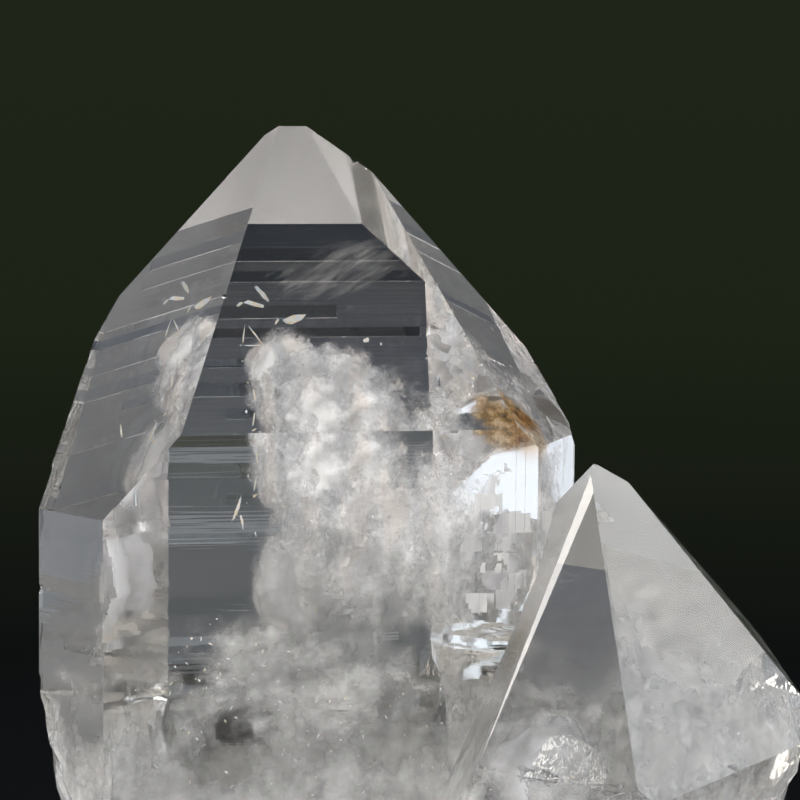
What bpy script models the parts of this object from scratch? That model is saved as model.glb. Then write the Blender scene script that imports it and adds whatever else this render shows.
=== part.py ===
"""A quartz cluster on a plain wooden stand: two large crystals grown together on one broken root.

Metres, +Z up, with the origin at the middle of the stand's underside. The long side of the stand runs
along X, and the cluster faces -Y. Each crystal is a block cut by its natural faces: six upright prism
faces and six sloping point faces, at quartz's own angles. Growth ledges, chips and the broken root are
then cut into them, and the root stands in a pocket of the stand.
"""

import math
import random

import bmesh
import bpy
from mathutils import Matrix, Vector, noise

MM = 0.001

# Every point face leans back from its prism face by quartz's own angle.
POINT_TILT = math.radians(38.2)
SIDE_STEP = math.radians(60)
BLOCK = 260 * MM

# The stand, and the pocket in its top that is carved to fit the root.
STAND_LENGTH = 188 * MM
STAND_DEPTH = 122 * MM
STAND_HEIGHT = 18 * MM
STAND_CORNER = 15 * MM
STAND_TOP_EDGE = 3.0 * MM
STAND_FOOT_EDGE = 1.0 * MM
POCKET_DEPTH = 4.5 * MM
POCKET_PLAY = 0.6 * MM
REST_GAP = 0.3 * MM
ROOT_FLOOR = STAND_HEIGHT - POCKET_DEPTH + REST_GAP

# The main crystal: where its axis stands, how far its front is turned to the right, and for each side its
# step round the axis, how far the prism face lies from the axis and the height where the point face starts.
MAIN_AXIS = Vector((-28.7, 17.0, 0)) * MM
MAIN_TURN = math.radians(12)
MAIN_SIDES = {
    "front": (0, 47.7 * MM, 115.8 * MM),
    "front_left": (-1, 63.8 * MM, 98.6 * MM),
    "back_left": (-2, 35.7 * MM, 136.2 * MM),
    "back": (-3, 25.3 * MM, 144.0 * MM),
    "back_right": (-4, 39.8 * MM, 129.0 * MM),
    "front_right": (-5, 60.9 * MM, 111.8 * MM),
}
# Small extra faces at the main crystal's left and right shoulders: a point of each and the way it looks.
SHOULDER_FACES = (
    ((-67.2, 10.0, 136.1), (-0.88, 0.01, 0.47)),
    ((31.7, 8.4, 111.6), (0.96, -0.05, 0.28)),
)

# The second crystal stands at the right and leans forward. Its sizes are counted from its tip: the distance
# from the axis to each prism face, and how far above the tip the point face would meet the axis.
SECOND_TIP = Vector((33.5, -24.4, 110.0)) * MM
SECOND_TURN = math.radians(41)
SECOND_LEAN = math.radians(14.8)
SECOND_SIDES = {
    "right": (0, 43.0 * MM, 0.0),
    "front": (-1, 41.0 * MM, 0.0),
    "left": (-2, 52.0 * MM, 9.0 * MM),
    "back_left": (-3, 36.0 * MM, 4.0 * MM),
    "back_right": (-4, 36.0 * MM, 0.0),
    "far_right": (-5, 44.0 * MM, 5.4 * MM),
}
# Where it grew against the main crystal its left side is one steep face: a point of it and how it looks.
CONTACT_POINT = Vector((21.1, -14.6, 80.9)) * MM
CONTACT_NORMAL = Vector((-0.910, -0.101, 0.402))

# The broken root cuts the lower ends of both crystals. For sixteen directions, from the right round by the
# back, the left and the front: its reach at the bottom, and how much it widens for each unit of height.
ROOT_MIDDLE = Vector((3.0, 1.0, 0)) * MM
ROOT_REACH = (66, 52, 42, 37, 36, 42, 54, 65, 72, 77, 75, 36, 32, 45, 62, 66)
ROOT_FLARE = (
    0.32, 0.20, 0.20, 0.20, 0.20, 0.22, 0.24, 0.24, 0.21, 0.19, 0.08, 0.12, 0.32, 0.45, 0.42, 0.38
)
ROOT_HEIGHT = 66 * MM
ROOT_SEGMENTS = 136
ROOT_RINGS = 20
ROOT_SCOOP = 2.6 * MM
ROOT_HACKLE = 1.6 * MM
# Above the root the shape opens so wide that it leaves the crystals alone.
ROOT_TOP = 200 * MM
ROOT_OPEN = 160 * MM

# Ledges across the prism faces: how many, from what height up, and the least and greatest depth.
LEDGES = {
    "back": (13, 50 * MM, 0.20 * MM, 0.55 * MM),
    "back_left": (8, 52 * MM, 0.15 * MM, 0.45 * MM),
    "back_right": (6, 56 * MM, 0.15 * MM, 0.40 * MM),
    "front_left": (3, 50 * MM, 0.12 * MM, 0.25 * MM),
}
# Upright ledges along an edge: the face, which end of it, how deep, how far in from the edge, and between
# what heights.
EDGE_LEDGES = (
    ("front", 1, 0.22 * MM, 11.6 * MM, 66 * MM, 114.2 * MM),
    ("front", 1, 0.65 * MM, 4.2 * MM, 30 * MM, 121 * MM),
    ("front", 1, 1.15 * MM, 2.1 * MM, 30 * MM, 121 * MM),
    ("front", -1, 0.25 * MM, 2.4 * MM, 72 * MM, 113 * MM),
    ("back_left", 1, 0.55 * MM, 7.5 * MM, 58 * MM, 118 * MM),
    ("back_left", 1, 0.30 * MM, 13.0 * MM, 58 * MM, 96 * MM),
    ("back_right", -1, 0.50 * MM, 6.0 * MM, 60 * MM, 122 * MM),
)

# Chips knocked out of edges: the middle of the scoop and its size.
CHIPS = (
    ((-23.6, 17.2, 176.2), 1.5 * MM),
    ((-18.6, 15.6, 172.3), 1.1 * MM),
    ((-15.2, 14.6, 170.2), 1.6 * MM),
    ((-12.2, 13.4, 168.2), 1.0 * MM),
    ((2.6, 16.2, 151.6), 0.9 * MM),
    ((24.4, 17.8, 126.4), 1.2 * MM),
    ((-41.6, -13.4, 142.0), 0.8 * MM),
    ((21.2, -21.4, 114.2), 1.4 * MM),
    ((-78.6, -22.4, 82.0), 1.2 * MM),
    ((34.2, -24.6, 110.0), 1.3 * MM),
    ((37.0, -35.4, 93.5), 0.9 * MM),
    ((41.9, -54.2, 55.0), 1.3 * MM),
)


def outward(turn, tilt=0.0):
    """The way a face looks: turn is counted from the front towards the right, and tilt upwards."""
    return Vector(
        (math.sin(turn) * math.cos(tilt), -math.cos(turn) * math.cos(tilt), math.sin(tilt))
    )


def cut_face(bm, point, normal):
    """Cuts off what lies beyond one flat face and closes the cut."""
    geometry = bm.verts[:] + bm.edges[:] + bm.faces[:]
    cut = bmesh.ops.bisect_plane(
        bm, geom=geometry, dist=1e-7, plane_co=point, plane_no=normal, clear_outer=True
    )
    rim = [part for part in cut["geom_cut"] if isinstance(part, bmesh.types.BMEdge)]
    if rim:
        bmesh.ops.edgeloop_fill(bm, edges=rim)


def add_object(name, bm, collection):
    """Makes a bmesh an object of the collection."""
    bmesh.ops.recalc_face_normals(bm, faces=bm.faces[:])
    mesh = bpy.data.meshes.new(name)
    bm.to_mesh(mesh)
    bm.free()
    obj = bpy.data.objects.new(name, mesh)
    collection.objects.link(obj)
    return obj


def add_helper(name, bm, collection):
    """A cutter or a shape to join: it isn't part of the model by itself."""
    obj = add_object(name, bm, collection)
    obj.hide_render = True
    obj.display_type = "WIRE"
    return obj


def add_boolean(obj, other, operation):
    """Joins another object to obj, cuts it away or keeps what they share."""
    modifier = obj.modifiers.new(other.name, "BOOLEAN")
    modifier.operation = operation
    modifier.object = other
    modifier.solver = "EXACT"


def cut_away_all(obj, name, shapes, collection):
    """Cuts a row of shapes away from obj in one go."""
    group = bpy.data.collections.new(name)
    collection.children.link(group)
    for number, bm in enumerate(shapes):
        add_helper(f"{name}_{number}", bm, group)
    modifier = obj.modifiers.new(name, "BOOLEAN")
    modifier.operation = "DIFFERENCE"
    modifier.operand_type = "COLLECTION"
    modifier.collection = group
    modifier.solver = "EXACT"


def main_crystal_mesh(play=0.0):
    """The large upright crystal, from its twelve faces and two small ones at its shoulders."""
    bm = bmesh.new()
    middle = MAIN_AXIS + Vector((0, 0, BLOCK / 2))
    bmesh.ops.create_cube(bm, size=BLOCK, matrix=Matrix.Translation(middle))
    for step, distance, shoulder in MAIN_SIDES.values():
        turn = MAIN_TURN + step * SIDE_STEP
        foot = MAIN_AXIS + outward(turn) * (distance + play)
        cut_face(bm, foot, outward(turn))
        cut_face(bm, foot + Vector((0, 0, shoulder)), outward(turn, POINT_TILT))
    for point, normal in SHOULDER_FACES:
        cut_face(bm, Vector(point) * MM, Vector(normal).normalized())
    cut_face(bm, Vector((0, 0, ROOT_FLOOR - 5 * MM)), Vector((0, 0, -1)))
    return bm


def second_crystal_mesh(play=0.0):
    """The smaller crystal at the right, built upright about its tip and then leaned forward."""
    bm = bmesh.new()
    bmesh.ops.create_cube(bm, size=BLOCK, matrix=Matrix.Translation((0, 0, -BLOCK / 2)))
    for step, distance, rise in SECOND_SIDES.values():
        turn = SECOND_TURN + step * SIDE_STEP
        cut_face(bm, outward(turn) * (distance + play), outward(turn))
        cut_face(bm, Vector((0, 0, rise)), outward(turn, POINT_TILT))
    lean = Matrix.Translation(SECOND_TIP) @ Matrix.Rotation(SECOND_LEAN, 4, "X")
    bmesh.ops.transform(bm, matrix=lean, verts=bm.verts[:])
    contact = CONTACT_NORMAL.normalized()
    cut_face(bm, CONTACT_POINT + contact * play, contact)
    cut_face(bm, Vector((0, 0, ROOT_FLOOR - 5 * MM)), Vector((0, 0, -1)))
    return bm


def around(values, angle):
    """Reads a row of values set out evenly round the compass, smoothly between its directions."""
    place = (angle % (2 * math.pi)) / (2 * math.pi) * len(values)
    low = int(place)
    share = (1 - math.cos(math.pi * (place - low))) / 2
    return (1 - share) * values[low % len(values)] + share * values[(low + 1) % len(values)]


def break_depth(point):
    """How far the broken surface stands in or out: wide scoops with sharp ridges, and finer hackles."""
    scoops = noise.voronoi(point / (15 * MM))[0]
    hackles = noise.voronoi(point / (5.5 * MM))[0]
    return ROOT_SCOOP * (scoops[1] - scoops[0] - 0.35) - ROOT_HACKLE * (hackles[0] - 0.4)


def root_mesh(play=0.0):
    """The shape that both crystals are kept within: rough and narrow below, and clear of them above."""
    bm = bmesh.new()
    bmesh.ops.create_cone(bm, cap_ends=True, segments=ROOT_SEGMENTS, radius1=1, radius2=1, depth=1)
    uprights = [e for e in bm.edges if abs(e.verts[0].co.z - e.verts[1].co.z) > 0.5]
    bmesh.ops.subdivide_edges(bm, edges=uprights, cuts=ROOT_RINGS, use_grid_fill=True)
    for vertex in bm.verts:
        angle = math.atan2(vertex.co.y, vertex.co.x)
        direction = Vector((math.cos(angle), math.sin(angle), 0))
        share = vertex.co.z + 0.5
        if share > 0.999:
            vertex.co = ROOT_MIDDLE + direction * ROOT_OPEN + Vector((0, 0, ROOT_TOP))
            continue
        rise = share * ROOT_HEIGHT * (ROOT_RINGS + 1) / ROOT_RINGS
        reach = around(ROOT_REACH, angle) * MM + around(ROOT_FLARE, angle) * rise
        point = ROOT_MIDDLE + direction * reach + Vector((0, 0, ROOT_FLOOR + rise))
        vertex.co = point + direction * (break_depth(point) + play)
    if play:
        bmesh.ops.translate(bm, vec=(0, 0, -REST_GAP), verts=bm.verts[:])
    return bm


def face_span(side):
    """How far a prism face of the main crystal runs to its left and right edge, seen from outside."""
    names = list(MAIN_SIDES)
    place = names.index(side)
    distance = MAIN_SIDES[side][1]
    left = MAIN_SIDES[names[(place + 1) % 6]][1]
    right = MAIN_SIDES[names[place - 1]][1]
    half = distance * math.cos(SIDE_STEP)
    return (half - left) / math.sin(SIDE_STEP), (right - half) / math.sin(SIDE_STEP)


def face_cutter(side, size, tilt, place):
    """A block that cuts into a prism face, built before the front and then turned to the face's side.

    The lower edge of its inner side lies at place, which is counted sideways, inwards and upwards.
    """
    step, distance, _ = MAIN_SIDES[side]
    width, height = size
    thick = 12 * MM
    bm = bmesh.new()
    bmesh.ops.create_cube(bm, size=1, matrix=Matrix.Diagonal((width, thick, height, 1)))
    bmesh.ops.translate(bm, vec=(0, -thick / 2, height / 2), verts=bm.verts[:])
    bmesh.ops.rotate(bm, cent=(0, 0, 0), matrix=Matrix.Rotation(tilt, 3, "X"), verts=bm.verts[:])
    sideways, inwards, upwards = place
    bmesh.ops.translate(bm, vec=(sideways, inwards - distance, upwards), verts=bm.verts[:])
    turned = Matrix.Translation(MAIN_AXIS) @ Matrix.Rotation(MAIN_TURN + step * SIDE_STEP, 4, "Z")
    bmesh.ops.transform(bm, matrix=turned, verts=bm.verts[:])
    return bm


def ledge_cutters():
    """Wedges for the ledges: each starts from one edge of its face and dies out upwards."""
    chance = random.Random(11)
    cutters = []
    for side, (count, bottom, least, greatest) in LEDGES.items():
        left, right = face_span(side)
        top = MAIN_SIDES[side][2] - 3 * MM
        for number in range(count):
            low = bottom + (top - bottom) * (number + 0.8 * chance.random()) / count
            depth = chance.uniform(least, greatest)
            run = chance.uniform(1.6, 3.4) * MM
            width = (right - left) * chance.uniform(0.35, 1.0) + 2 * MM
            near = left - 2 * MM + width / 2
            far = right + 2 * MM - width / 2
            sideways = near if chance.random() < 0.5 else far
            size = (width, math.hypot(depth, run))
            cutters.append(face_cutter(side, size, math.atan2(depth, run), (sideways, depth, low)))
    for side, end, depth, reach, low, high in EDGE_LEDGES:
        edge = face_span(side)[(end + 1) // 2]
        width = 20 * MM
        sideways = edge + end * (width / 2 - reach)
        cutters.append(face_cutter(side, (width, high - low), 0.0, (sideways, depth, low)))
    return cutters


def chip_meshes():
    """Small scoops with flat faces, each turned its own way."""
    chance = random.Random(5)
    scoops = []
    for place, size in CHIPS:
        bm = bmesh.new()
        bmesh.ops.create_icosphere(bm, subdivisions=1, radius=size)
        bmesh.ops.scale(bm, vec=(1.5, 0.9, 0.7), verts=bm.verts[:])
        for axis in "XYZ":
            turn = Matrix.Rotation(chance.uniform(0, math.pi), 3, axis)
            bmesh.ops.rotate(bm, cent=(0, 0, 0), matrix=turn, verts=bm.verts[:])
        bmesh.ops.translate(bm, vec=Vector(place) * MM, verts=bm.verts[:])
        scoops.append(bm)
    return scoops


def principled(name, colour, roughness, transmission):
    """A plain material with the piece's colour."""
    material = bpy.data.materials.new(name)
    material.use_nodes = True
    shader = material.node_tree.nodes["Principled BSDF"]
    shader.inputs["Base Color"].default_value = (*colour, 1)
    shader.inputs["Roughness"].default_value = roughness
    shader.inputs["Transmission Weight"].default_value = transmission
    return material


def build_cluster(collection, helpers):
    """Both crystals joined in one stone, with ledges and chips, and broken at the root."""
    stone = add_object("quartz_cluster", main_crystal_mesh(), collection)
    cut_away_all(stone, "ledges", ledge_cutters(), helpers)
    add_boolean(stone, add_helper("second_crystal", second_crystal_mesh(), helpers), "UNION")
    cut_away_all(stone, "chips", chip_meshes(), helpers)
    add_boolean(stone, add_helper("root", root_mesh(), helpers), "INTERSECT")
    stone.data.materials.append(principled("clear_quartz", (0.86, 0.85, 0.83), 0.03, 0.9))


def build_stand(collection, helpers):
    """A low oblong block with round corners and soft edges, and a pocket carved to fit the root."""
    bm = bmesh.new()
    bmesh.ops.create_cube(bm, size=1, matrix=Matrix.Diagonal((STAND_LENGTH, STAND_DEPTH, STAND_HEIGHT, 1)))
    bmesh.ops.translate(bm, vec=(0, 0, STAND_HEIGHT / 2), verts=bm.verts[:])
    uprights = [e for e in bm.edges if abs(e.verts[0].co.z - e.verts[1].co.z) > STAND_HEIGHT / 2]
    bmesh.ops.bevel(bm, geom=uprights, offset=STAND_CORNER, segments=8, profile=0.5, affect="EDGES")
    rim = [e for e in bm.edges if min(v.co.z for v in e.verts) > STAND_HEIGHT - 1e-6]
    bmesh.ops.bevel(bm, geom=rim, offset=STAND_TOP_EDGE, segments=4, profile=0.5, affect="EDGES")
    foot = [e for e in bm.edges if max(v.co.z for v in e.verts) < 1e-6]
    bmesh.ops.bevel(bm, geom=foot, offset=STAND_FOOT_EDGE, segments=1, profile=0.5, affect="EDGES")
    stand = add_object("stand", bm, collection)
    pocket = add_helper("pocket", main_crystal_mesh(POCKET_PLAY), helpers)
    add_boolean(pocket, add_helper("pocket_right", second_crystal_mesh(POCKET_PLAY), helpers), "UNION")
    add_boolean(pocket, add_helper("pocket_root", root_mesh(POCKET_PLAY), helpers), "INTERSECT")
    add_boolean(stand, pocket, "DIFFERENCE")
    stand.data.materials.append(principled("black_wood", (0.022, 0.019, 0.017), 0.42, 0.0))
    stand.data.shade_smooth()
    stand.data.set_sharp_from_angle(angle=math.radians(32))


def main():
    for obj in list(bpy.data.objects):
        bpy.data.objects.remove(obj)
    collection = bpy.data.collections.new("quartz_on_stand")
    helpers = bpy.data.collections.new("cutters")
    bpy.context.scene.collection.children.link(collection)
    bpy.context.scene.collection.children.link(helpers)
    build_cluster(collection, helpers)
    build_stand(collection, helpers)


main()
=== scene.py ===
import math
import random

import bmesh
import bpy
from mathutils import Matrix, Vector, noise
from mathutils.bvhtree import BVHTree


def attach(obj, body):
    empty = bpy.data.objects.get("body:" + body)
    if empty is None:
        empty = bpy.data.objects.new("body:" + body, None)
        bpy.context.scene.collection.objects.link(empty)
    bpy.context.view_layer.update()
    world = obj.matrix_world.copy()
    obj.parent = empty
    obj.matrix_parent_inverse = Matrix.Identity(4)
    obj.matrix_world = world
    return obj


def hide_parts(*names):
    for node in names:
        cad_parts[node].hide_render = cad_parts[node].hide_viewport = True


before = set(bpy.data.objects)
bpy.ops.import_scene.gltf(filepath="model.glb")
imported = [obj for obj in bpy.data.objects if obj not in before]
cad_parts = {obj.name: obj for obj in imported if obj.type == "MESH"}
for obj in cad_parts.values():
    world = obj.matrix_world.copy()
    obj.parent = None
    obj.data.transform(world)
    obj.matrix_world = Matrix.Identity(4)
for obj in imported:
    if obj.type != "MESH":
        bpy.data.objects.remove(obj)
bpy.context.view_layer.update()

MM = 0.001
bpy.ops.object.select_all(action="DESELECT")


# STAND
# A block of close-grained wood with its edges eased, sprayed with satin black lacquer and rubbed
# down. The crystals sit in a pocket cut to their broken foot, so nothing else holds them.
class Wire:
    """A socket of a material. Sums on wires and numbers become Math nodes."""

    def __init__(self, tree, socket=None):
        self.tree, self.socket = tree, socket

    def node(self, kind, settings=None, sockets=None, out=0):
        """A node of any kind, with its settings first and then its sockets' values or wires."""
        made = self.tree.nodes.new("ShaderNode" + kind)
        for name, value in (settings or {}).items():
            if name == "stops":
                ramp = made.color_ramp.elements
                while len(ramp) < len(value):
                    ramp.new(0.5)
                for stop, (place, colour) in zip(ramp, value):
                    stop.position, stop.color = place, (*colour, 1)
            else:
                setattr(made, name, value)
        for name, value in (sockets or {}).items():
            if isinstance(value, Wire):
                self.tree.links.new(value.socket, made.inputs[name])
            else:
                made.inputs[name].default_value = value
        return Wire(self.tree, made.outputs[out])

    def maths(self, operation, *values):
        return self.node("Math", {"operation": operation}, dict(enumerate(values)))

    def __add__(self, other):
        return self.maths("ADD", self, other)

    def __sub__(self, other):
        return self.maths("SUBTRACT", self, other)

    def __rsub__(self, other):
        return self.maths("SUBTRACT", other, self)

    def __mul__(self, other):
        return self.maths("MULTIPLY", self, other)

    __radd__, __rmul__ = __add__, __mul__

    def between(self, low, high):
        """0 below low, 1 above high and smooth in between."""
        return self.node("MapRange", {"interpolation_type": "SMOOTHSTEP"},
                         {"Value": self, "From Min": low, "From Max": high})

    def ramp(self, *stops):
        """A colour for every value, from stops of a value and a colour."""
        return self.node("ValToRGB", {"stops": stops}, {0: self})


def new_finish(name):
    """A material with nothing in it yet, and the wire that its nodes start from."""
    finish = bpy.data.materials.new(name)
    finish.use_nodes = True
    finish.node_tree.nodes.clear()
    return finish, Wire(finish.node_tree)


def close_finish(finish, surface, volume=None):
    """Joins the shader, and the body of a clear piece, to the material's output."""
    end = finish.node_tree.nodes.new("ShaderNodeOutputMaterial")
    finish.node_tree.links.new(surface.socket, end.inputs["Surface"])
    if volume:
        finish.node_tree.links.new(volume.socket, end.inputs["Volume"])


def grains(start, size, turn=(0, 0, 0), stretch=(1, 1, 1), detail=4, rough=0.55):
    """Noise whose lumps are about size across, stretched along the piece's own axes."""
    place = start.node("TexCoord", out=3)
    place = start.node("Mapping", {"vector_type": "TEXTURE"}, {
        "Vector": place, "Rotation": turn, "Scale": [size * share for share in stretch]})
    return start.node("TexNoise", sockets={
        "Vector": place, "Scale": 1, "Detail": detail, "Roughness": rough})


def overlaid(under, share, over):
    """One colour laid over another, as strongly as share says."""
    return share.node("Mix", {"data_type": "RGBA"}, {"Factor": share, "A": under, "B": over}, out=2)


def facing(start, axis):
    """How far the surface looks along an axis: 0 for X, 1 for Y and 2 for Z."""
    return start.node("SeparateXYZ", sockets={0: start.node("NewGeometry", out=1)}, out=axis)


FIBRE, PORE, SMEAR = 1.2 * MM, 0.6 * MM, 30 * MM
LACQUER_DEEP, LACQUER_THIN = (0.012, 0.0105, 0.0095), (0.024, 0.021, 0.018)
BARE_WOOD = (0.085, 0.06, 0.042, 1)

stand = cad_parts["stand"]
lacquer, wood = new_finish("satin_black_lacquer")
fibres = grains(wood, FIBRE, stretch=(40, 1, 1), detail=5)
pores = grains(wood, PORE, stretch=(14, 1, 1), detail=2)
smears = grains(wood, SMEAR, detail=3)
upward = facing(wood, 2)
rubbed = upward.between(0.25, 0.6) * (1 - upward.between(0.8, 0.97)) * fibres.between(0.42, 0.6)
tone = overlaid(fibres.ramp((0.3, LACQUER_DEEP), (0.7, LACQUER_THIN)), rubbed * 0.5, BARE_WOOD)
relief = fibres * 0.6 - pores.between(0.62, 0.7) * 0.8
dents = wood.node("Bump", sockets={"Strength": 0.25, "Distance": 0.12 * MM, "Height": relief})
close_finish(lacquer, wood.node("BsdfPrincipled", sockets={
    "Base Color": tone, "Roughness": 0.26 + smears * 0.16 + rubbed * 0.15, "Normal": dents,
    "Coat Weight": 0.3, "Coat Roughness": 0.12}))
stand.data.materials.clear()
stand.data.materials.append(lacquer)


# CRYSTALS
# Two quartz crystals grown together, clear with a faint warm cast and broken off at the foot. The
# growth lines run level round their upright sides, and the point faces are smooth. Iron stained
# them in two places, and a knock left a bruise low on the second one.
def put_away(piece):
    """Rests a finished piece on the one body there is."""
    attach(piece, "root")


def edit_picked(piece, *steps):
    """Edit mode on one piece, with what was picked on it, for the steps given."""
    bpy.ops.object.select_all(action="DESELECT")
    bpy.context.view_layer.objects.active = piece
    piece.select_set(True)
    bpy.ops.object.mode_set(mode="EDIT")
    for step, values in steps:
        step(**values)
    bpy.ops.object.mode_set(mode="OBJECT")


def edit(piece, *steps):
    """The same, with all of the piece picked."""
    edit_picked(piece, (bpy.ops.mesh.select_all, {"action": "SELECT"}), *steps)


def new_piece(name, mesh):
    """An object for a mesh, put in the scene."""
    piece = bpy.data.objects.new(name, mesh)
    bpy.context.collection.objects.link(piece)
    return piece


def wear(piece, finish):
    """Gives a piece one finish and no other."""
    piece.data.materials.clear()
    piece.data.materials.append(finish)


BREAK_TOP = 86 * MM
GROWN_AREA, SCAR_AREA = 200e-6, 30e-6
SAME_WAY = 0.99985
WORN_WAY = Vector((-0.9085, -0.0955, 0.407))

crystals = new_piece("crystals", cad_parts["quartz_cluster"].data.copy())
edit(crystals, (bpy.ops.mesh.remove_doubles, {"threshold": 1e-6}),
     (bpy.ops.mesh.dissolve_limited, {"angle_limit": math.radians(0.05)}))

# The small faces low down that lie in no grown face are torn ones. The second crystal's left face,
# which rubs against the big one, is worn.
shape = crystals.data
flats = {}
for face in shape.polygons:
    key = tuple(round(v, 2) for v in face.normal)
    flats[key] = flats.get(key, 0) + face.area
grown = [Vector(key).normalized() for key, area in flats.items() if area > GROWN_AREA]
broken = shape.attributes.new("broken", "FLOAT", "FACE")
for face in shape.polygons:
    low = max(shape.vertices[v].co.z for v in face.vertices) < BREAK_TOP
    small = face.area < SCAR_AREA
    if low and small and not any(face.normal.dot(way) > SAME_WAY for way in grown):
        broken.data[face.index].value = 1
    elif face.normal.dot(WORN_WAY) > 0.999:
        broken.data[face.index].value = 2.0

LINE, BAND, ETCH, HANDLED = 0.7 * MM, 5 * MM, 1.0 * MM, 10 * MM
CLEAR, DULL = (0.985, 0.985, 0.98, 1), (0.80, 0.79, 0.76, 1)
BRUISE = Vector((28.5, -49.5, 49.5)) * MM
STAINS = ((Vector((21.5, -16, 115)) * MM, 8.5 * MM, (0.62, 0.34, 0.10, 1)),
          (Vector((23.0, -30, 72)) * MM, 10.0 * MM, (0.80, 0.66, 0.45, 1)))
QUARTZ_IOR = 1.544
SMOKE_COLOUR, SMOKE_DENSITY = (0.80, 0.788, 0.762, 1), 13

quartz, glass = new_finish("quartz")
place = glass.node("TexCoord", out=3)
upward, backward = facing(glass, 2), facing(glass, 1)
upright = (1 - upward.between(0.06, 0.16)) * upward.between(-0.16, -0.06)
torn = glass.node("Attribute", {"attribute_name": "broken"}, out=2)
lines = grains(glass, LINE, stretch=(50, 50, 1), detail=1, rough=0.5)
bands = grains(glass, BAND, stretch=(14, 14, 1), detail=0)
etching = grains(glass, ETCH, detail=1)
handling = grains(glass, HANDLED, detail=1)
gap = glass.node("VectorMath", {"operation": "DISTANCE"}, {0: place, 1: BRUISE}, out=1)
gap = gap + handling * 0.016 + etching * 0.006
bruise = (1 - gap.between(0.0145, 0.019)) * etching.between(0.44, 0.56)
relief = upright * (lines * 0.14 + bands * 0.4) + torn * etching * 1.6 + bruise * 2.4
dents = glass.node("Bump", sockets={"Strength": 0.35, "Distance": 0.22 * MM, "Height": relief})
frosted = (backward * upward).between(0.3, 0.4) * 0.5
specks = etching.between(0.66, 0.72) * handling.between(0.5, 0.7)
tint = overlaid(CLEAR, specks * 0.5, DULL)
for spot, size, rusty in STAINS:
    gap = glass.node("VectorMath", {"operation": "DISTANCE"}, {0: place, 1: spot}, out=1)
    gap = gap + bands * 0.004 - 0.002
    stain = (1 - gap.between(size * 0.45, size)) * (0.55 + handling * 0.5)
    tint = overlaid(tint, stain, rusty)
scuffed = handling.between(0.58, 0.8) * 0.03 + torn * 0.12 + frosted + bruise * 0.1
body = glass.node("BsdfPrincipled", sockets={
    "Base Color": tint, "Transmission Weight": 1, "IOR": QUARTZ_IOR, "Roughness": scuffed,
    "Normal": dents})
smoke = glass.node("VolumeAbsorption", sockets={"Color": SMOKE_COLOUR, "Density": SMOKE_DENSITY})
close_finish(quartz, body, smoke)
wear(crystals, quartz)
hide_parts("quartz_cluster")
put_away(crystals)


# MILK
# Water trapped in tiny pockets as the quartz grew. It fills the foot of both crystals, just under
# their faces, and rises through the middle of the big one as a cloud with a ragged top.
MAIN = Vector((-28.7, 17.0, 0)) * MM
MAIN_TURN = math.radians(12)
FRONT_DEPTH = 47.7
LEFT_RIGHT = Vector((math.cos(MAIN_TURN), math.sin(MAIN_TURN), 0))
FRONT_BACK = Vector((-math.sin(MAIN_TURN), math.cos(MAIN_TURN), 0))
UP = Vector((0, 0, 1))


def inside(side, depth, high):
    """A place in the big crystal: mm to the right of its axis, behind its front side, and up."""
    level = MAIN + LEFT_RIGHT * side * MM + FRONT_BACK * (depth - FRONT_DEPTH) * MM
    return level + Vector((0, 0, high * MM))


# The clouds and flakes lean and chip at random, and the same way each run.
noise.seed_set(4)

CURD, DRIFT = 3.2 * MM, 9 * MM
MILK_RISE = (66 * MM, 100 * MM)
GREY, PALE = (0.43, 0.44, 0.445), (0.595, 0.605, 0.62)
BLUISH, WHITE = (0.855, 0.875, 0.92), (0.935, 0.955, 1.0)
ROSY = (0.84, 0.75, 0.68, 1)

milk, haze = new_finish("milk")
height = haze.node("SeparateXYZ", sockets={0: haze.node("TexCoord", out=3)}, out=2)
curds = grains(haze, CURD, detail=3, rough=0.66)
drift = grains(haze, DRIFT, turn=(0, 0, 0.4), stretch=(0.6, 1, 2.6), detail=1)
thick = haze.node("Attribute", {"attribute_name": "thickness"}, out=2)
risen = height.between(*MILK_RISE)
cover = thick * 1.5 + curds * (0.7 + risen * 1.1) + drift * 0.9 - 1.3 - risen * 0.5
# The milk is whiter higher up and where the curds gather. Above a thickness of 1 it is whiter still,
# and that part is painted light: it brightens thick clouds in place of light that doesn't reach
# them.
whiteness_and_painted_light = risen * 0.5 + curds * 0.55 + 0.05 + thick.between(1.0, 1.7) * 0.4
shade = whiteness_and_painted_light.ramp((0.0, GREY), (0.35, PALE), (0.7, BLUISH), (1.0, WHITE))
shade = overlaid(shade, drift.between(0.5, 0.62) * risen * 0.4, ROSY)
close_finish(milk, haze.node("BsdfPrincipled", sockets={
    "Base Color": shade, "Roughness": 0.6 + curds * 0.2, "Alpha": cover.between(-0.1, 1.1)}))
milk.use_transparent_shadow = False

# Two clear windows in the milk at the lower left: x and z of the middle, half width and half height.
WINDOWS = ((-52, 64, 5.5, 6.5), (-40.5, 48.5, 8.0, 6.0))


def clearing(point):
    """How much milk there is for the windows: 1 away from them, and 0 in them."""
    share = 1.0
    ragged = 0.8 * noise.noise(point / (4 * MM))
    for x, z, wide, tall in WINDOWS:
        gap = math.hypot((point.x / MM - x) / wide, (point.z / MM - z) / tall)
        share *= min(1.0, max(0.0, gap + ragged - 0.55) / 0.45)
    return share


# The foot of the crystals, sunk under their faces, with a lumpy skin that thins out upwards.
FOOT_TOP = 62 * MM
FOOT_GRAIN = 1.6 * MM
UNDER_FACES = 4.0
LUMP_SIZE, LUMP_HEIGHT = 14 * MM, 1.8
FADE_TOP, FADE_DEPTH = 57 * MM, 20 * MM

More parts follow.
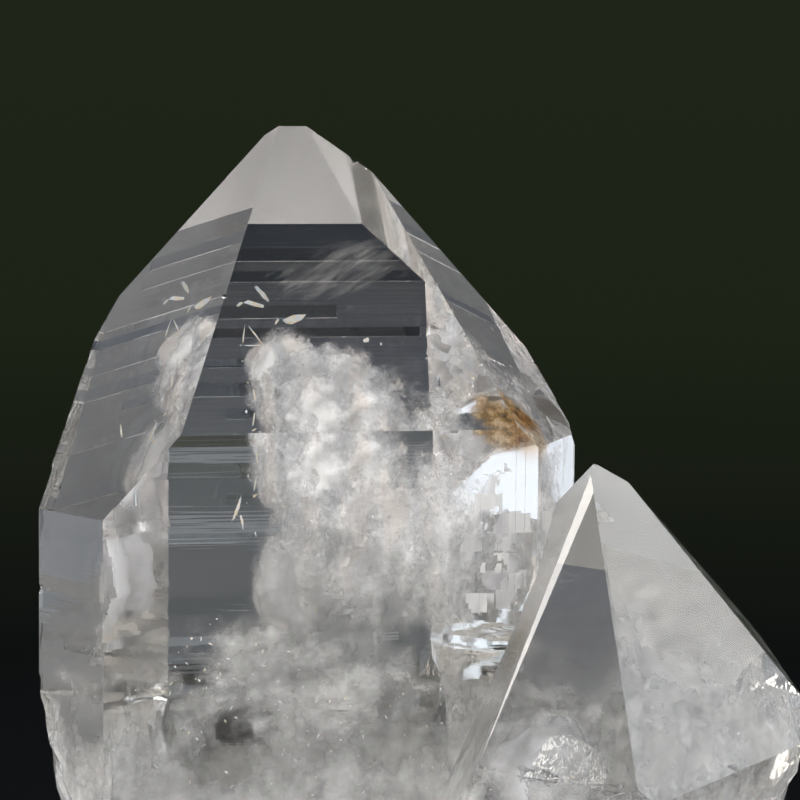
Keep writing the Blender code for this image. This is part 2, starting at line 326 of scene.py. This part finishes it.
foot = new_piece("milk_foot", shape.copy())
edit(foot, (bpy.ops.mesh.bisect, {"plane_co": UP * FOOT_TOP, "plane_no": UP, "clear_outer": True,
                                  "use_fill": True}))
coat = foot.modifiers.new("coat", "REMESH")
coat.mode, coat.voxel_size = "VOXEL", FOOT_GRAIN
bpy.ops.object.modifier_apply(modifier="coat")
skin = foot.data
skin.name = "milk_foot"
for vertex, way in zip(skin.vertices, [v.normal.copy() for v in skin.vertices]):
    vertex.co -= way * UNDER_FACES * MM
depth = skin.attributes.new("thickness", "FLOAT", "POINT")
for vertex, way in zip(skin.vertices, [v.normal.copy() for v in skin.vertices]):
    lump = noise.fractal(vertex.co / LUMP_SIZE, 0.8, 2.2, 4)
    vertex.co += way * (lump * LUMP_HEIGHT - 0.4) * MM
    sunk = (FADE_TOP - vertex.co.z) / FADE_DEPTH + 0.35 * noise.noise(vertex.co / (11 * MM))
    sunk = min(1.0, max(0.0, sunk))
    depth.data[vertex.index].value = (0.30 + 0.62 * sunk) * clearing(vertex.co)
wear(foot, milk)
bpy.ops.object.shade_smooth()
put_away(foot)

probe = bmesh.new()
probe.from_mesh(shape)
outline = BVHTree.FromBMesh(probe)
probe.free()


def held(point, margin):
    """Whether a point lies inside the quartz, at least margin mm from every face."""
    near, way, _, gap = outline.find_nearest(point)
    return (point - near).dot(way) < 0 and gap > margin * MM


def join_as(name, parts, finish):
    """Joins parts as one piece of the quartz, with its own finish."""
    bpy.ops.object.select_all(action="DESELECT")
    for part in parts:
        part.select_set(True)
    bpy.context.view_layer.objects.active = parts[0]
    bpy.ops.object.join()
    bpy.ops.object.transform_apply(location=True, rotation=True, scale=True)
    parts[0].name = parts[0].data.name = name
    wear(parts[0], finish)
    put_away(parts[0])


CUTS = 28


def veils(name, middle, reach, sheets, thickness, seed, rise=0.0, finish=milk):
    """A cloud as bowed sheets of milk one behind the other, each thinning out to its edge."""
    wide, deep, tall = reach
    parts = []
    for number in range(sheets):
        bpy.ops.object.select_all(action="DESELECT")
        bpy.ops.mesh.primitive_grid_add(x_subdivisions=CUTS, y_subdivisions=CUTS, size=2)
        sheet = bpy.context.object
        depth = sheet.data.attributes.new("thickness", "FLOAT", "POINT")
        level = (2 * number + 1) / sheets - 1
        share = math.sqrt(1 - 0.7 * level * level)
        shift = Vector((seed, number * 3.7, 0.4))
        lean = noise.noise_vector(shift)
        for vertex in sheet.data.vertices:
            u, v = vertex.co.x, vertex.co.y
            bow = noise.fractal(Vector((u, v, 0)) * 1.2 + shift, 0.9, 2.1, 3)
            back = level + 0.3 * bow + 0.5 * (lean.x * u + lean.y * v)
            vertex.co = (middle + LEFT_RIGHT * u * share * wide * MM + FRONT_BACK * back * deep * MM
                         + Vector((0, 0, (v * share + rise * u) * tall * MM)))
            fade = max(0.0, 1 - (u * u + v * v)) ** 0.7
            fade *= 0.85 + 0.6 * noise.noise(vertex.co / (8 * MM) + shift)
            fade *= clearing(vertex.co)
            depth.data[vertex.index].value = thickness * fade if held(vertex.co, 0.8) else 0.0
        kept = set()
        for face in sheet.data.polygons:
            if any(depth.data[v].value > 0 for v in face.vertices):
                kept.update(face.vertices)
        edit_picked(sheet, (bpy.ops.mesh.select_all, {"action": "DESELECT"}))
        for vertex in sheet.data.vertices:
            vertex.select = vertex.index not in kept
        edit_picked(sheet, (bpy.ops.mesh.delete, {"type": "VERT"}))
        parts.append(sheet)
    join_as(name, parts, finish)
    bpy.ops.object.shade_smooth()


# Each cloud's middle, its reach to the side, back and up in mm, its sheets, thickness and seed.
# A thickness above 1 also whitens the milk as painted light: cloud_shoulder, cloud_back and
# cloud_corner are thick so that they come out brighter than the light inside the stone would make
# them.
veils("cloud_crown", inside(7, 58, 103), (18, 16, 18), 5, 1.1, 3.0)
veils("cloud_shoulder", inside(-1, 66, 106), (10.5, 11, 14.5), 4, 1.6, 5.0)
veils("cloud_body", inside(16, 52, 90), (28, 19, 27), 4, 0.85, 9.0)
veils("cloud_haze", inside(12, 48, 71), (31, 22, 17), 3, 0.48, 13.0)
veils("cloud_skirt", inside(-4, 36, 60), (42, 28, 19), 4, 0.8, 15.0)
veils("cloud_back", inside(2, 68, 78), (13, 6, 16), 2, 1.9, 19.0)
veils("cloud_right", inside(29, 35, 86), (15, 18, 29), 3, 0.78, 21.0)

# Where the big crystal's right side grew in steps, the milk lies in small upright blocks.
STEP_BLOCK = Vector((1.5, 1.5, 4.2)) * MM
BLOCK_GREY, BLOCK_WHITE = (0.62, 0.63, 0.68), (0.94, 0.95, 0.98)

ledges, blocks = new_finish("growth_steps")
place = blocks.node("TexCoord", out=3)
snapped = blocks.node("VectorMath", {"operation": "SNAP"}, {0: place, 1: STEP_BLOCK})
stacks = blocks.node("TexNoise", sockets={"Vector": snapped, "Scale": 170, "Detail": 0})
thick = blocks.node("Attribute", {"attribute_name": "thickness"}, out=2)
cover = (thick * 1.2 + stacks * 2.6 - 1.75).between(0.0, 0.2) * 0.9
close_finish(ledges, blocks.node("BsdfPrincipled", sockets={
    "Base Color": stacks.ramp((0.42, BLOCK_GREY), (0.6, BLOCK_WHITE)), "Roughness": 0.35,
    "Alpha": cover}))
ledges.use_transparent_shadow = False
veils("growth_steps", inside(38, 24, 90), (9, 5, 19), 2, 0.8, 23.0, finish=ledges)

# The two clouds in the second crystal.
veils("cloud_second", Vector((38, -20, 52)) * MM, (24, 20, 18), 3, 0.66, 27.0)
veils("cloud_corner", Vector((24, -40, 50)) * MM, (14, 5, 14), 2, 1.9, 29.0)

# A fine slanting veil under the big crystal's point, combed into strands.
STRAND, STRAND_SLANT = 1.6 * MM, math.radians(-36)
STRAND_GREY, STRAND_WHITE = (0.55, 0.56, 0.58), (0.85, 0.85, 0.86)

plume, hairs = new_finish("fine_veil")
strands = grains(hairs, STRAND, turn=(0, STRAND_SLANT, 0), stretch=(6, 3, 1), rough=0.62)
thick = hairs.node("Attribute", {"attribute_name": "thickness"}, out=2)
cover = (thick * 1.1 + strands * 2.0 - 1.35).between(0.0, 1.2) * 0.34
close_finish(plume, hairs.node("BsdfPrincipled", sockets={
    "Base Color": strands.ramp((0.4, STRAND_GREY), (0.6, STRAND_WHITE)),
    "Roughness": 0.6 + strands * 0.1, "Alpha": cover}))
plume.use_transparent_shadow = False
veils("cloud_wisp", inside(11, 52, 139), (22, 8, 8), 3, 0.8, 33.0, 0.6, plume)


# FLAKES AND RUST
# Flat gaps that opened and healed inside the quartz. They hold air or water and flash like tinsel.
# Iron that seeped into a crack below the right shoulder left it orange.
GLINT = 1.2 * MM
GOLDEN, SILVER, BLUE = (0.90, 0.80, 0.58), (0.95, 0.94, 0.91), (0.82, 0.88, 0.97)

film, sheen = new_finish("trapped_film")
glints = grains(sheen, GLINT, detail=2)
pearl = glints.ramp((0.38, GOLDEN), (0.5, SILVER), (0.62, BLUE))
rippled = sheen.node("Bump", sockets={"Strength": 0.6, "Distance": 0.3 * MM, "Height": glints})
close_finish(film, sheen.node("BsdfPrincipled", sockets={
    "Base Color": pearl, "Metallic": 0.15, "Roughness": 0.12 + glints * 0.2, "Normal": rippled}))

FLAKE_THICKNESS = 0.3 * MM
FLAKE_MARGIN = 0.5
STEP_FORWARD = 0.5 * MM
FRONT_LIMIT = -60 * MM

bpy.ops.object.select_all(action="DESELECT")
bpy.ops.mesh.primitive_circle_add(vertices=6, radius=1, fill_type="NGON")
plate = bpy.context.object
edit(plate, (bpy.ops.mesh.inset, {"thickness": 0.3, "depth": 0.25}))
backing = plate.modifiers.new("backing", "SOLIDIFY")
backing.thickness = 0.12
bpy.ops.object.modifier_apply(modifier="backing")
flakes = []


def flake(spot, length, width, turn, tilt, roll):
    """One flat gap, in mm, facing the front until it is turned, tilted and rolled, in degrees."""
    while not held(spot, FLAKE_MARGIN):
        spot = spot - FRONT_BACK * STEP_FORWARD
        if spot.y < FRONT_LIMIT:
            return
    piece = new_piece("flake", plate.data.copy())
    for corner in piece.data.vertices:
        chip = noise.noise_vector(corner.co * 1.7 + Vector((length, roll, turn)))
        corner.co += Vector((chip.x, chip.y, 0)) * 0.8
    aim = (Matrix.Rotation(MAIN_TURN + math.radians(turn), 4, "Z")
           @ Matrix.Rotation(math.radians(90 - tilt), 4, "X")
           @ Matrix.Rotation(math.radians(roll), 4, "Z"))
    size = Matrix.Diagonal((length / 2 * MM, width / 2 * MM, FLAKE_THICKNESS, 1))
    piece.data.transform(Matrix.Translation(spot) @ aim @ size)
    flakes.append(piece)


# The ones that stand out in the big crystal: place, length, width, turn, tilt and roll.
for side, behind_front, high, length, width, turn, tilt, roll in (
        (-5, 76, 126.5, 5.6, 1.5, 10, 15, -52), (-7, 74, 124, 4.0, 1.7, -12, 25, -14),
        (-10, 74, 124, 2.6, 0.7, 0, 10, 40), (1.5, 72, 119.8, 5.4, 1.7, 6, 25, 8),
        (-2, 72, 119.5, 1.6, 0.6, 20, 5, 50), (-10, 66, 118.4, 6.0, 0.35, 0, 8, 83),
        (-8.2, 66, 115.4, 3.6, 0.35, 0, 8, 0), (-7.6, 66, 118.2, 6.0, 0.3, 0, 8, -58),
        (-41, 19, 115.8, 5.2, 0.5, -30, 5, 12), (-43.5, 18, 113, 3.8, 0.45, -30, 0, -75),
        (-39, 19, 113, 3.4, 0.5, -30, 5, -70), (-9.5, 56, 112, 3.4, 0.4, 10, 12, 86),
        (-9.2, 56, 106, 3.8, 0.45, -8, 18, 96), (-9.8, 54, 101, 2.6, 0.4, 0, 10, 80),
        (-14, 50, 96, 5.2, 0.7, 5, 20, 68), (-13, 50, 93.4, 3.0, 0.6, 5, 20, 100),
        (16, 60, 118.5, 1.6, 1.3, 0, 10, 30), (30, 50, 112, 1.6, 0.5, 0, 0, 80)):
    flake(inside(side, behind_front, high), length, width, turn, tilt, roll)

# The ones under the lower front face of the second crystal, at one depth.
CORNER_DEPTH = -42
for x, z, length, width, turn, tilt, roll in (
        (28, 49, 3.4, 1.6, 10, 35, 20), (31, 47, 2.6, 1.2, -15, 50, -35),
        (26, 46, 2.2, 1.0, 25, 40, 60), (33, 50, 1.8, 1.0, -5, 30, 5),
        (29.5, 44, 2.8, 1.4, 5, 45, -10), (24, 50, 1.8, 0.8, 15, 30, 75)):
    flake(Vector((x, CORNER_DEPTH, z)) * MM, length, width, turn, tilt, roll)

# Swarms of tiny ones: the middle, the reach to the side, back and up in mm, and how many.
draw = random.Random(11)
for middle, reach, count in (
        (inside(-9, 55, 108), (3, 8, 14), 26), (inside(14, 50, 96), (18, 16, 22), 40),
        (inside(-22, 14, 66), (14, 10, 9), 34), (inside(30, 30, 100), (12, 16, 22), 26),
        (Vector((24, -42, 44)) * MM, (12, 4, 14), 60), (inside(-4, 2.5, 50), (44, 2, 18), 90)):
    for _ in range(count):
        aside, back, high = [draw.gauss(0, 0.5) * side for side in reach]
        spot = middle + LEFT_RIGHT * aside * MM + FRONT_BACK * back * MM + Vector((0, 0, high * MM))
        flake(spot, draw.uniform(0.25, 1.1), draw.uniform(0.15, 0.45), draw.uniform(-50, 50),
              draw.uniform(-30, 50), draw.uniform(0, 180))
join_as("flakes", flakes, film)
bpy.data.objects.remove(plate)

RUST_PATCH = 2.2 * MM
RUST_DARK, RUST_ORANGE, RUST_PALE = (0.11, 0.085, 0.05), (0.40, 0.25, 0.10), (0.74, 0.60, 0.42)

rust, ochre = new_finish("iron_rust")
patches = grains(ochre, RUST_PATCH, rough=0.65)
ring = ochre.node("Attribute", {"attribute_name": "thickness"}, out=2)
close_finish(rust, ochre.node("BsdfPrincipled", sockets={
    "Base Color": patches.ramp((0.36, RUST_DARK), (0.5, RUST_ORANGE), (0.66, RUST_PALE)),
    "Roughness": 0.45 + patches * 0.2,
    "Alpha": (ring * 1.3 + patches * 1.3 - 1.1).between(0.0, 1.1)}))
rust.use_transparent_shadow = False
veils("rust_crack", Vector((15.5, -9, 115)) * MM, (10, 2.5, 6.5), 2, 1.0, 41.0, -0.4, rust)


# TABLE, LIGHT AND CAMERA
# A pale table top with soft edges that ends close behind the stand, so that the crystals stand in
# front of a dark room. Large soft lights stand at the left, above and at the right.
TABLE_WIDTH, TABLE_THICKNESS = 3.2, 0.03
TABLE_FRONT, TABLE_BACK = -1.6, 0.075
PLASTER_DARK, PLASTER_PALE = (0.31, 0.30, 0.29), (0.35, 0.34, 0.328)

bpy.ops.object.select_all(action="DESELECT")
bpy.ops.mesh.primitive_cube_add(size=1)
table = bpy.context.object
table.name = "table_top"
table.scale = (TABLE_WIDTH, TABLE_BACK - TABLE_FRONT, TABLE_THICKNESS)
table.location = (0, (TABLE_BACK + TABLE_FRONT) / 2, -TABLE_THICKNESS / 2)
bpy.ops.object.transform_apply(location=True, rotation=True, scale=True)
rounding = table.modifiers.new("soft_edge", "BEVEL")
rounding.width, rounding.segments = 6 * MM, 4
bpy.ops.object.modifier_apply(modifier="soft_edge")
plaster, top = new_finish("pale_table")
mottle = grains(top, 50 * MM, detail=5)
close_finish(plaster, top.node("BsdfPrincipled", sockets={
    "Base Color": mottle.ramp((0.3, PLASTER_DARK), (0.7, PLASTER_PALE)),
    "Roughness": 0.65 + mottle * 0.1}))
wear(table, plaster)

# The room's colours from straight down (0) to straight up (1). At the right it looks a little lower.
ROOM = ((0.20, (0.18, 0.185, 0.195)), (0.245, (0.13, 0.145, 0.17)), (0.278, (0.028, 0.033, 0.042)),
        (0.37, (0.006, 0.007, 0.009)), (0.41, (0.0045, 0.0052, 0.0052)),
        (0.46, (0.0125, 0.0168, 0.0085)), (0.52, (0.0137, 0.0185, 0.0091)),
        (0.56, (0.010, 0.0115, 0.0105)))

world = bpy.data.worlds.new("dark_room")
bpy.context.scene.world = world
world.use_nodes = True
room = Wire(world.node_tree)
look = room.node("TexCoord", out=0)
level = room.node("SeparateXYZ", sockets={0: look}, out=2)
aside = room.node("SeparateXYZ", sockets={0: look}, out=0)
gloom = (level * 0.5 + 0.5 - aside.between(0.2, 0.6) * 0.06).ramp(*ROOM)
world.node_tree.links.new(gloom.socket, world.node_tree.nodes["Background"].inputs["Color"])

LIGHTS_AIM = Vector((0, 0, 0.09))


def softbox(name, place, size, power, colour, tall=1.0):
    """A panel of soft light that faces the crystals and doesn't show itself."""
    lamp = new_piece(name, bpy.data.lights.new(name, "AREA"))
    lamp.data.shape, lamp.data.energy, lamp.data.color = "RECTANGLE", power, colour
    lamp.data.size, lamp.data.size_y = size, size * tall
    lamp.location = place
    lamp.rotation_euler = (LIGHTS_AIM - Vector(place)).to_track_quat("-Z", "Y").to_euler()
    lamp.visible_camera = False


softbox("left_light", (-1.0, -0.75, 0.75), 0.9, 37, (1.0, 0.96, 0.915))
softbox("top_light", (-0.1, 0.5, 1.25), 0.9, 46, (1.0, 0.975, 0.94))
softbox("right_light", (1.15, -0.15, 0.5), 0.8, 6.5, (0.93, 0.96, 1.0))
softbox("front_light", (0.55, -1.2, 0.12), 0.8, 4.8, (0.77, 0.87, 1.0))
softbox("low_light", (-1.15, 0.5, 0.0), 1.0, 4.5, (0.84, 0.90, 1.0))
softbox("rear_light", (-0.75, 0.95, 0.65), 0.6, 10, (0.98, 0.98, 1.0))
softbox("back_light", (-0.08, 1.0, -0.03), 0.26, 0.012, (0.70, 0.82, 1.0), 0.7)
softbox("upper_strip", (-0.08, 0.99, -0.015), 0.26, 0.0010, (0.85, 0.9, 1.0), 0.035)
softbox("lower_strip", (-0.08, 0.99, -0.048), 0.26, 0.0013, (0.85, 0.9, 1.0), 0.045)
softbox("back_right_light", (0.62, 1.0, -0.12), 0.35, 0.05, (0.92, 0.95, 1.0))

EYE = Vector((-5.03, -681.5, 190.7)) * MM
LOOKED_AT = Vector((-5.03, -35.03, 123.0)) * MM
CAMERA_ROLL = math.radians(0.6)
FOCAL_LENGTH, SENSOR = 146.25, 36

ahead = (LOOKED_AT - EYE).normalized()
right = ahead.cross(UP).normalized()
up = right.cross(ahead)
right, up = (right * math.cos(CAMERA_ROLL) + up * math.sin(CAMERA_ROLL),
             up * math.cos(CAMERA_ROLL) - right * math.sin(CAMERA_ROLL))
camera = new_piece("camera", bpy.data.cameras.new("camera"))
camera.data.lens, camera.data.sensor_width = FOCAL_LENGTH, SENSOR
camera.data.clip_start, camera.data.clip_end = 0.01, 20
camera.matrix_world = Matrix.Translation(EYE) @ Matrix((right, up, -ahead)).transposed().to_4x4()
bpy.context.scene.camera = camera
bpy.context.scene.view_settings.view_transform = "Standard"

# Clear stone needs many bounces, and without the light tree the soft lights come out cleaner.
cycles = bpy.context.scene.cycles
cycles.use_light_tree = False
cycles.max_bounces = 10
cycles.diffuse_bounces = 3
cycles.glossy_bounces = 7
cycles.transmission_bounces = 10
cycles.transparent_max_bounces = 24
